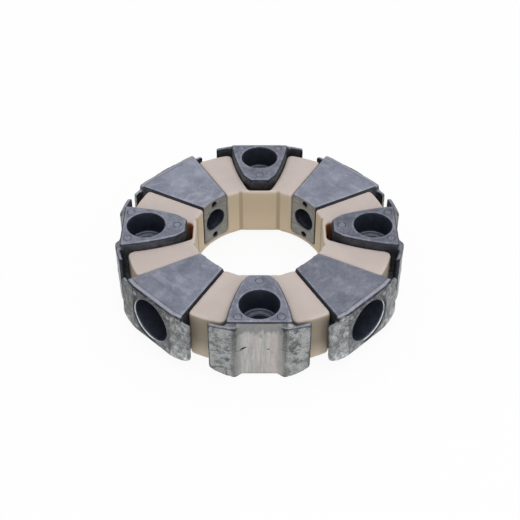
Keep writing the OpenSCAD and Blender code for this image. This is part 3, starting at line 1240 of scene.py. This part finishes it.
@dataclass(frozen=True)
class ElastomerFinish:
    """The moulded elastomer: a pinkish beige top and yellower walls, the hue difference between
    them painted for how light falls on each.
    """

    name: str = "moulded_elastomer"
    top: Triple = (0.505, 0.430, 0.402)
    top_pale: Triple = (0.535, 0.462, 0.432)
    wall: Triple = (0.490, 0.410, 0.312)
    wall_pale: Triple = (0.540, 0.460, 0.358)
    bore_wall: Triple = (0.640, 0.530, 0.385)
    # colour of the specks and of the painted shade in the hollows
    stain_and_shade: Triple = (0.210, 0.160, 0.100)
    # painted shade: dark lines where the pad grooves lie
    groove: Triple = (0.330, 0.250, 0.160)
    # painted shade with a painted glow of light through the elastomer at the pocket ends
    pocket: Triple = (0.380, 0.140, 0.050)
    # painted highlight: a lighter line on the rounded edges
    edge: Triple = (0.640, 0.580, 0.520)
    cloud: Cloud = Cloud(0.035, 4.0, 0.55, 0.3)
    cloud_share: Span = Span(0.35, 0.65)
    inner_r: Span = Span(53.0, 51.0)
    inner_gain: Span = Span(8.0, 40.0, 1.22, 0.95)
    outer_r: Span = Span(92.0, 96.0)
    # painted shade: the outer walls painted darker towards the top
    outer_gain: Span = Span(6.0, 26.0, 1.3, 0.68)
    facing_up: Span = Span(0.2, 0.85)
    edge_share: Span = Span(0.08, 0.3, 0.0, 0.5)
    groove_at: Pair = (47.74, 14.87)
    groove_reach: Span = Span(4.4, 0.4, 0.0, 0.55)
    grime: Cloud = Cloud(0.2, 5.0)
    grime_share: Span = Span(0.3, 0.7, 0.4)
    # painted shade in the hollows
    hollow: Span = Span(0.08, 0.5, 0.0, 0.6)
    fleck: Cloud = Cloud(0.9, 1.0)
    fleck_share: Span = Span(0.77, 0.82, 0.0, 0.45)
    polish: Cloud = Cloud(0.12)
    polish_span: Span = Span(0.3, 0.7, 0.5, 0.62)
    grain: Cloud = Cloud(1.4, 2.0)
    grain_depth: float = 0.03
    specular_level: float = 0.3
    subsurface_weight: float = 0.12
    subsurface_radius: Triple = (1.0, 0.6, 0.35)
    subsurface_metres: float = 0.003

    def material(self) -> bpy.types.Material:
        """Build the node material.

        Returns:
            The material.
        """
        board = Board(self.name)
        cloud = board.noise(self.cloud, self.cloud_share)
        reach = board.distance((0.0, 0.0, 0.0), (1.0, 1.0, 0.0))
        inward = board.band(reach, self.inner_r)
        wall = board.blend(cloud, self.wall, self.wall_pale)
        wall = board.blend(inward, wall, self.bore_wall)
        gain = board.blend(inward, (1.0, 1.0, 1.0), board.band(board.height, self.inner_gain))
        # painted shade on the outer walls, darker towards the top
        outer_gain = board.band(board.height, self.outer_gain)
        gain = board.blend(board.band(reach, self.outer_r), gain, outer_gain)
        grime = board.noise(self.grime, self.grime_share)
        hollow = board.band(board.value(Value.HOLLOW), self.hollow)
        colour = board.coated(
            board.blend(1.0, wall, gain, "MULTIPLY"),
            # painted light: the top faces get the pinker tones of the light falling from above
            (
                board.band(board.value(Value.UP), self.facing_up),
                board.blend(cloud, self.top, self.top_pale),
            ),
            # painted highlight on the rounded edges
            (board.band(board.value(Value.EDGE), self.edge_share), self.edge),
            # painted shade along the pad grooves
            (board.band(self._off_groove(board), self.groove_reach), self.groove),
            # painted shade in the hollows, broken up by noise
            (board.times(hollow, grime), self.stain_and_shade),
            # painted shade and glow at the pocket ends
            (board.value(Value.DEEP), self.pocket),
            (board.noise(self.fleck, self.fleck_share), self.stain_and_shade),
        )
        return board.dressed(
            {
                "Base Color": colour,
                "Roughness": board.noise(self.polish, self.polish_span),
                "Specular IOR Level": self.specular_level,
                "Subsurface Weight": self.subsurface_weight,
                "Subsurface Radius": self.subsurface_radius,
                "Subsurface Scale": self.subsurface_metres,
                "Normal": board.bump(board.noise(self.grain), self.grain_depth),
            }
        )

    def _off_groove(self, board: Board) -> Socket:
        """Measure how far each point lies from the grooves beside the pads.

        Args:
            board: The material's board.

        Returns:
            The square of the distance.
        """
        ends = (board.calc("ABSOLUTE", board.far), board.across)
        total: Socket | float = 0.0
        for operation, place in zip(("MAXIMUM", "MINIMUM"), self.groove_at):
            off = board.calc("SUBTRACT", board.calc(operation, *ends), place)
            total = board.calc("ADD", board.times(off, off), total)
        return total


@dataclass(frozen=True)
class CastRelief:
    """How uneven a casting's surface is, in depths and wavelengths in millimetres."""

    broad: Pair
    close: Pair
    sink: float
    lumps: Pair
    seam_height: float
    seam_wander: float
    seam_y: Pair
    seam_x: Pair = (90.0, 96.0)
    seam_z: float = 25.0
    seam_half: float = 0.55
    wander_length: float = 9.0
    foot_z: Pair = (0.1, 1.5)
    lump_shift: float = 50.0

    def at(self, skin: Skin, cast: Roughcast) -> np.ndarray:
        """Work out the unevenness of one casting.

        Args:
            skin: The casting's surface.
            cast: The casting's own noise.

        Returns:
            How far each point moves outward, in millimetres.
        """
        points, values = skin.points, skin.values
        x, y, z = points.T
        rough = (1.0 - values[Value.MACHINED]) * (1.0 - values[Value.BORE])
        rough = rough * step_between(z, *self.foot_z)
        waves = sum(depth * cast.at(points, length) for depth, length in (self.broad, self.close))
        depth, length = self.lumps
        lumps = depth * values[Value.OUTER] * cast.at(points + self.lump_shift, length)
        level = cast.at(points * (1.0, 1.0, 0.0), self.wander_length)
        off = (z - self.seam_z - self.seam_wander * level) / self.seam_half
        seam = self.seam_height * np.exp(-(off**2)) * step_between(np.abs(y), *self.seam_y)
        return rough * (waves - self.sink + lumps + seam * step_between(x, *self.seam_x))


@dataclass
class Castings:
    """One kind of insert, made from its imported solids."""

    stem: str
    first_seed: int
    directions: tuple[Direction, ...]
    levels: tuple[float, ...]
    finish: CastingFinish
    relief: CastRelief
    outer_levels: tuple[float, ...] = (1.0, 1.0, 1.0, 1.0)
    outer_drifts: tuple[float, ...] = (0.0, 0.0, 0.0, 0.0)
    drift_y: float = 25.0
    voxel: float = 0.68
    edge_radius: float = 0.4
    corner_radius: float = 0.4
    edge_blur: float = 0.9
    hollow_blur: float = 3.0
    outward_x: Pair = (96.0, 99.0)
    floor_facing: Pair = (0.5, 0.9)
    grain_step: Triple = (137.0, 61.0, 89.0)

    def build(self, nodes: dict[str, bpy.types.Object]) -> None:
        """Make every insert of the kind.

        Args:
            nodes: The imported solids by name.
        """
        material = CastingPaint(self.finish).paint()
        base = self._base(nodes)
        for number, direction in enumerate(self.directions):
            skin = Skin(base.points, base.faces, dict(base.values))
            skin.values[Value.PLACE] = base.points
            skin.values[Value.GRAIN] = base.points + np.array(self.grain_step) * number
            skin.values[Value.TONE] = self._tone(base, number)
            skin.values[Value.PIT] = skin.values[Value.GRIME] = np.zeros(len(base.points))
            self.own_marks(skin, direction)
            skin.push(self.relief.at(skin, Roughcast(self.first_seed + number)))
            name = f"{self.stem}_casting_{direction.name.lower()}"
            piece = skin.object(name, direction.value)
            piece.data.materials.append(material)
            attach(piece, "root")
            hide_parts(self._node(direction))
            LOG.info("%s: %d points", name, len(skin.points))

    def own_marks(self, skin: Skin, direction: Direction) -> None:
        """Store what sets one casting apart from the others of its kind."""
        raise NotImplementedError

    def crisp(self, points: np.ndarray) -> np.ndarray:
        """Find the places that keep their full sharpness."""
        raise NotImplementedError

    def zones(self, skin: Skin) -> None:
        """Store which parts are machined, bored or on the outer faces."""
        raise NotImplementedError

    def _base(self, nodes: dict[str, bpy.types.Object]) -> Skin:
        """Make the surface that the inserts of the kind share.

        Args:
            nodes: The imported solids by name.

        Returns:
            The surface, pointing along +X.
        """
        lead = self.directions[0]
        sharp = SolidField.of_node(nodes[self._node(lead)], -lead.value, pitch(self.voxel))
        smooth = sharp.rounded(self.edge_radius, self.corner_radius)
        smooth = smooth.with_zone(sharp, self.crisp)
        base = smooth.skin(self.edge_blur, self.hollow_blur)
        self.zones(base)
        return base

    def _tone(self, base: Skin, number: int) -> np.ndarray:
        """Work out how light one casting is.

        Args:
            base: The shared surface.
            number: Which casting it is.

        Returns:
            One gain for each point.
        """
        outer = base.values[Value.OUTER]
        share = np.clip(base.points[:, 1] / self.drift_y, -1.0, 1.0)
        level = self.outer_levels[number] * (1.0 + self.outer_drifts[number] * share)
        return self.levels[number] * (1.0 - outer) + level * outer

    def _node(self, direction: Direction) -> str:
        """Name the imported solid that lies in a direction."""
        return f"{self.stem}_insert_{direction.name.lower()}"


@dataclass
class AxialCastings(Castings):
    """The four inserts that bolt to the flywheel through upright counterbored holes."""

    stem: str = "axial"
    first_seed: int = 11
    directions: tuple[Direction, ...] = (
        Direction.FRONT,
        Direction.RIGHT,
        Direction.BACK,
        Direction.LEFT,
    )
    levels: tuple[float, ...] = (1.06, 0.84, 1.05, 1.10)
    finish: CastingFinish = CastingFinish(
        "axial_casting_metal",
        (
            PinMark((62.0, 0.0, 52.0)),
            PinMark((98.0, 15.0, 52.0)),
            PinMark((98.0, -15.0, 52.0)),
        ),
        ridge=RidgeTone(),
        bolt=(85.5, 0.0, 0.0),
    )
    relief: CastRelief = CastRelief(
        broad=(0.09, 9.0),
        close=(0.05, 3.5),
        sink=0.12,
        lumps=(0.10, 2.6),
        seam_height=0.28,
        seam_wander=0.7,
        seam_y=(17.0, 19.0),
    )
    bolt_x: float = 85.5
    crisp_r: Pair = (16.2, 15.2)
    bore_r: Pair = (15.1, 14.6)
    bore_top_z: Pair = (51.8, 50.8)
    bore_floor_z: Pair = (28.0, 30.0)
    outward_facing: Pair = (0.25, 0.6)
    flat_y: Pair = (18.2, 17.0)
    flaw_x: Pair = (100.0, 102.0)
    flaw_edge: Pair = (0.25, 0.6)
    front_flaws: tuple[Flaw, ...] = (
        Flaw(-11.6, 26.2, 4.6, 1.7, 38.0, 0.9),
        Flaw(-9.6, 27.4, 2.2, 1.1, 8.0, 0.7),
        Flaw(6.3, 25.7, 2.0, 1.0, 20.0, 0.5),
    )

    def own_marks(self, skin: Skin, direction: Direction) -> None:
        """Cut the nicks and the pit that only the front casting has.

        Args:
            skin: The casting's surface, pointing along +X.
            direction: Where the casting points.
        """
        x, y, z = skin.points.T
        pit = np.zeros(len(x))
        depth = np.zeros(len(x))
        for flaw in self.front_flaws if direction is Direction.FRONT else ():
            share = flaw.share(y, z) * step_between(x, *self.flaw_x)
            pit = np.maximum(pit, step_between(share, *self.flaw_edge))
            depth = np.maximum(depth, flaw.depth * share)
        skin.values[Value.PIT] = pit
        skin.push(-depth)

    def crisp(self, points: np.ndarray) -> np.ndarray:
        """Find the places that keep their full sharpness: the bolt hole."""
        reach = np.hypot(points[:, 0] - self.bolt_x, points[:, 1])
        return step_between(reach, *self.crisp_r)

    def zones(self, skin: Skin) -> None:
        """Store which parts are machined, bored or on the outer faces.

        Args:
            skin: The casting's surface, pointing along +X.
        """
        x, y, z = skin.points.T
        nx, _, nz = skin.normals.T
        reach = np.hypot(x - self.bolt_x, y)
        bore = step_between(reach, *self.bore_r) * step_between(z, *self.bore_top_z)
        outward = step_between(nx, *self.outward_facing) * step_between(x, *self.outward_x)
        cut = outward * step_between(np.abs(y), *self.flat_y)
        floor = step_between(nz, *self.floor_facing) * step_between(z, *self.bore_floor_z)
        skin.values[Value.MACHINED] = cut
        skin.values[Value.OUTER] = outward * (1.0 - cut)
        skin.values[Value.BORE] = bore
        skin.values[Value.DEEP] = floor * bore


@dataclass
class RadialCastings(Castings):
    """The four inserts that bolt to the hub through level counterbored holes."""

    stem: str = "radial"
    first_seed: int = 21
    directions: tuple[Direction, ...] = (
        Direction.FRONT_RIGHT,
        Direction.BACK_RIGHT,
        Direction.BACK_LEFT,
        Direction.FRONT_LEFT,
    )
    levels: tuple[float, ...] = (0.80, 1.08, 1.16, 0.95)
    # painted light: the front right casting's outer faces are painted lighter and the front left's
    # darker, with a drift across the face, as light falls from the right
    outer_levels: tuple[float, ...] = (1.16, 1.0, 1.0, 0.86)
    outer_drifts: tuple[float, ...] = (-0.08, 0.0, 0.0, 0.26)
    finish: CastingFinish = CastingFinish(
        "radial_casting_metal",
        (
            PinMark((108.7, 17.6, 42.0), 2.1),
            PinMark((108.7, -17.6, 42.0), 2.1),
            PinMark((110.3, 17.2, 10.9), 2.1),
            PinMark((110.3, -17.2, 10.9), 2.1),
        ),
        cast=CastSkinTone(
            top=(
                (0.30, (0.150, 0.160, 0.208)),
                (0.50, (0.196, 0.208, 0.262)),
                (0.70, (0.250, 0.262, 0.318)),
            ),
            outer=(
                (0.32, (0.050, 0.054, 0.056)),
                (0.50, (0.120, 0.126, 0.130)),
                (0.66, (0.215, 0.220, 0.225)),
            ),
            wing=(
                (0.30, (0.080, 0.086, 0.086)),
                (0.48, (0.190, 0.197, 0.198)),
                (0.66, (0.420, 0.425, 0.430)),
            ),
            cloud=Cloud(0.05, 5.0, 0.6, 0.5),
            swirl_share=Span(0.5, 0.72, 0.0, 0.45),
            speckle_gain=Span(0.3, 0.7, 0.88, 1.12),
            patch=Cloud(0.22, 8.0, 0.62, 0.6),
        ),
        seam=SeamTone(at_z=25.0, from_y=Span(21.5, 22.7)),
        edge=EdgeTone(dark_share=Span(0.0, 1.0, 1.0, 0.15), rim_z=None),
        pins=PinTone(ring=0.45, disc=0.6),
        lip=LipTone(),
        strip=TopStripTone(),
        low_gain=Span(22.0, 8.0, 1.0, 1.55),
    )
    relief: CastRelief = CastRelief(
        broad=(0.09, 10.0),
        close=(0.04, 3.5),
        sink=0.11,
        lumps=(0.08, 2.8),
        seam_height=0.22,
        seam_wander=0.6,
        seam_y=(21.0, 23.0),
    )
    bolt_z: float = 27.75
    crisp_r: Pair = (21.3, 20.3)
    bore_r: Pair = (17.5, 17.1)
    bore_end_x: Pair = (109.6, 109.0)
    bore_floor_x: Pair = (80.0, 78.0)
    narrow_x: float = 75.0
    narrow_r: Pair = (9.9, 9.5)
    hub_face_r: Pair = (51.1, 50.5)
    behind_face_r: Pair = (50.3, 51.2)
    inward_facing: Pair = (-0.3, -0.7)
    outward_facing: Pair = (0.3, 0.6)
    sideways_facing: Pair = (0.4, 0.7)
    wing_end_y: Pair = (34.0, 35.0)
    dowel_from_bolt: Pair = (10.0, 12.0)
    dowel_y: Pair = (3.2, 2.9)
    dowel_end_r: Pair = (60.0, 59.0)
    dowel_top_z: Pair = (45.6, 45.0)
    dowel_low_z: Pair = (9.7, 10.1)
    # turns that set which side of each hole gets the painted shadow
    grime_turns: tuple[float, ...] = (-35.0, 215.0, -35.0, 215.0)
    grime_facing: Pair = (0.15, 0.7)
    grime_core_r: float = 1.0

    def own_marks(self, skin: Skin, direction: Direction) -> None:
        """Store on which side of its hole each casting gets the painted shadow beside its lip.

        Args:
            skin: The casting's surface, pointing along +X.
            direction: Where the casting points.
        """
        _, y, z = skin.points.T
        turn = math.radians(self.grime_turns[self.directions.index(direction)])
        rise = z - self.bolt_z
        reach = np.maximum(np.hypot(y, rise), self.grime_core_r)
        facing = (y * math.cos(turn) + rise * math.sin(turn)) / reach
        skin.values[Value.GRIME] = step_between(facing, *self.grime_facing)

    def crisp(self, points: np.ndarray) -> np.ndarray:
        """Find the places that keep their full sharpness: the bolt hole and its lip."""
        reach = np.hypot(points[:, 1], points[:, 2] - self.bolt_z)
        return step_between(reach, *self.crisp_r)

    def zones(self, skin: Skin) -> None:
        """Store which parts are machined, bored or on the outer faces.

        Args:
            skin: The casting's surface, pointing along +X.
        """
        x, y, z = skin.points.T
        nx, ny, _ = skin.normals.T
        rho = np.hypot(x, y)
        reach = np.hypot(y, z - self.bolt_z)
        aside = np.abs(y)
        behind = step_between(rho, *self.behind_face_r)
        bore = step_between(reach, *self.bore_r) * step_between(x, *self.bore_end_x) * behind
        bore = bore * np.where(x < self.narrow_x, step_between(reach, *self.narrow_r), 1.0)
        dowels = behind * step_between(reach, *self.dowel_from_bolt)
        dowels = dowels * step_between(rho, *self.dowel_end_r) * step_between(aside, *self.dowel_y)
        dowels = dowels * step_between(z, *self.dowel_top_z) * step_between(z, *self.dowel_low_z)
        cut = step_between(rho, *self.hub_face_r) * step_between(nx, *self.inward_facing)
        outward = step_between(nx, *self.outward_facing) * step_between(x, *self.outward_x)
        sideways = step_between(np.abs(ny), *self.sideways_facing)
        ends = sideways * step_between(aside, *self.wing_end_y)
        floor = step_between(nx, *self.floor_facing) * step_between(x, *self.bore_floor_x)
        skin.values[Value.MACHINED] = cut
        skin.values[Value.OUTER] = np.maximum(outward, ends) * (1.0 - bore)
        skin.values[Value.BORE] = np.maximum(bore, dowels)
        skin.values[Value.DEEP] = bore * floor


@dataclass
class MouldedRing:
    """The elastomer ring of eight lobes, with a pocket between each two."""

    voxel: float = 1.0
    edge_radius: float = 0.7
    corner_radius: float = 0.7
    edge_blur: float = 1.1
    hollow_blur: float = 4.0
    wave_depth: float = 0.05
    wave_length: float = 14.0
    wave_seed: int = 41
    grain_shift: float = 300.0
    pocket_y: Pair = (11.5, 10.0)
    pocket_near_r: Pair = (49.0, 50.2)
    pocket_far_r: Pair = (60.0, 56.0)
    pocket_top_z: Pair = (45.7, 44.5)
    facing_out: Pair = (-0.2, 0.3)

    def build(self, nodes: dict[str, bpy.types.Object]) -> None:
        """Make the ring.

        Args:
            nodes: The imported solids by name.
        """
        sharp = SolidField.of_node(nodes["elastomer_ring"], 0.0, pitch(self.voxel))
        smooth = sharp.rounded(self.edge_radius, self.corner_radius)
        skin = smooth.skin(self.edge_blur, self.hollow_blur)
        skin.values[Value.PLACE] = skin.points
        skin.values[Value.GRAIN] = skin.points + self.grain_shift
        # the pocket ends, where the painted shade and glow go
        skin.values[Value.DEEP] = self._pocket_ends(skin)
        waves = Roughcast(self.wave_seed).at(skin.points, self.wave_length)
        skin.push(self.wave_depth * waves - self.wave_depth)
        piece = skin.object("moulded_ring", 0.0)
        piece.data.materials.append(ElastomerFinish().material())
        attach(piece, "root")
        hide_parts("elastomer_ring")
        LOG.info("moulded_ring: %d points", len(skin.points))

    def _pocket_ends(self, skin: Skin) -> np.ndarray:
        """Find the ends of the pockets behind the axial inserts.

        Args:
            skin: The ring's surface.

        Returns:
            1 at the pocket ends and 0 elsewhere.
        """
        x, y, z = skin.points.T
        rho = np.hypot(x, y)
        side = np.minimum(np.abs(x), np.abs(y))
        outward = (skin.normals[:, 0] * x + skin.normals[:, 1] * y) / rho
        end = step_between(side, *self.pocket_y) * step_between(rho, *self.pocket_near_r)
        end = end * step_between(rho, *self.pocket_far_r) * step_between(outward, *self.facing_out)
        return end * step_between(z, *self.pocket_top_z)


@dataclass(frozen=True)
class Softbox:
    """A soft square lamp that faces the coupling, in metres and watts."""

    name: str
    place: Triple
    power: float
    size: float = 1.0

    def hang(self) -> None:
        """Put the lamp in the scene."""
        data = bpy.data.lights.new(self.name, "AREA")
        data.size = self.size
        data.energy = self.power
        lamp = bpy.data.objects.new(self.name, data)
        lamp.location = self.place
        lamp.rotation_euler = (-Vector(self.place)).to_track_quat("-Z", "Y").to_euler()
        bpy.context.scene.collection.objects.link(lamp)


@dataclass
class Studio:
    """The camera, the white floor and the soft light, in metres."""

    eye: Triple = (0.000377, -0.60126, 0.55466)
    target: Triple = (0.000377, 0.0, 0.016268)
    lens_mm: float = 71.98
    sensor_mm: float = 36.0
    floor_half: float = 15.0
    floor_colour: Triple = (0.86, 0.86, 0.86)
    sky_colour: Triple = (1.0, 1.0, 1.0)
    sky_level: float = 0.75
    backdrop_share: float = 0.93
    softboxes: tuple[Softbox, ...] = (
        Softbox("top_softbox", (0.15, 0.1, 1.3), 5.0),
        Softbox("front_softbox", (0.5, -1.3, 0.7), 3.0),
    )

    def build(self) -> None:
        """Set up everything round the coupling."""
        self._camera()
        self._floor()
        self._sky()
        for softbox in self.softboxes:
            softbox.hang()

    def _camera(self) -> None:
        """Set the camera at the photograph's viewing angle."""
        data = bpy.data.cameras.new("view")
        data.sensor_fit = "HORIZONTAL"
        data.sensor_width = self.sensor_mm
        data.lens = self.lens_mm
        camera = bpy.data.objects.new("view", data)
        camera.location = self.eye
        gaze = Vector(self.target) - Vector(self.eye)
        camera.rotation_euler = gaze.to_track_quat("-Z", "Y").to_euler()
        bpy.context.scene.collection.objects.link(camera)
        bpy.context.scene.camera = camera

    def _floor(self) -> None:
        """Lay a white floor that keeps a faint shadow."""
        half = self.floor_half
        mesh = bpy.data.meshes.new("floor")
        corners = [(-half, -half, 0.0), (half, -half, 0.0), (half, half, 0.0), (-half, half, 0.0)]
        mesh.from_pydata(corners, [], [(0, 1, 2, 3)])
        floor = bpy.data.objects.new("floor", mesh)
        bpy.context.scene.collection.objects.link(floor)
        material = bpy.data.materials.new("white_floor")
        material.use_nodes = True
        wiring = Wiring(material.node_tree)
        wiring.nodes.clear()
        matte = wiring.node("BsdfDiffuse", self.floor_colour)
        glow = wiring.node("Emission")
        share = wiring.calc("MULTIPLY", wiring.seen_directly(), self.backdrop_share)
        mix = wiring.node("MixShader", share, matte.outputs[0], glow.outputs[0])
        wiring.node("OutputMaterial", mix.outputs[0])
        mesh.materials.append(material)

    def _sky(self) -> None:
        """Surround the scene with a white world."""
        world = bpy.data.worlds.new("white_room")
        world.use_nodes = True
        wiring = Wiring(world.node_tree)
        level = wiring.node("MapRange", wiring.seen_directly(), 0.0, 1.0, self.sky_level)
        background = wiring.nodes["Background"]
        wiring.feed(background.inputs["Color"], self.sky_colour)
        wiring.feed(background.inputs["Strength"], level.outputs["Result"])
        bpy.context.scene.world = world


def main() -> None:
    """Build the coupling's pieces in order and report each one."""
    logging.basicConfig(level=logging.INFO, format="%(name)s: %(message)s")
    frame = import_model()
    bpy.context.scene.view_settings.view_transform = "Standard"
    Studio().build()
    for part in (MouldedRing(), AxialCastings(), RadialCastings()):
        part.build(frame["nodes"])


if __name__ == "__main__":
    main()
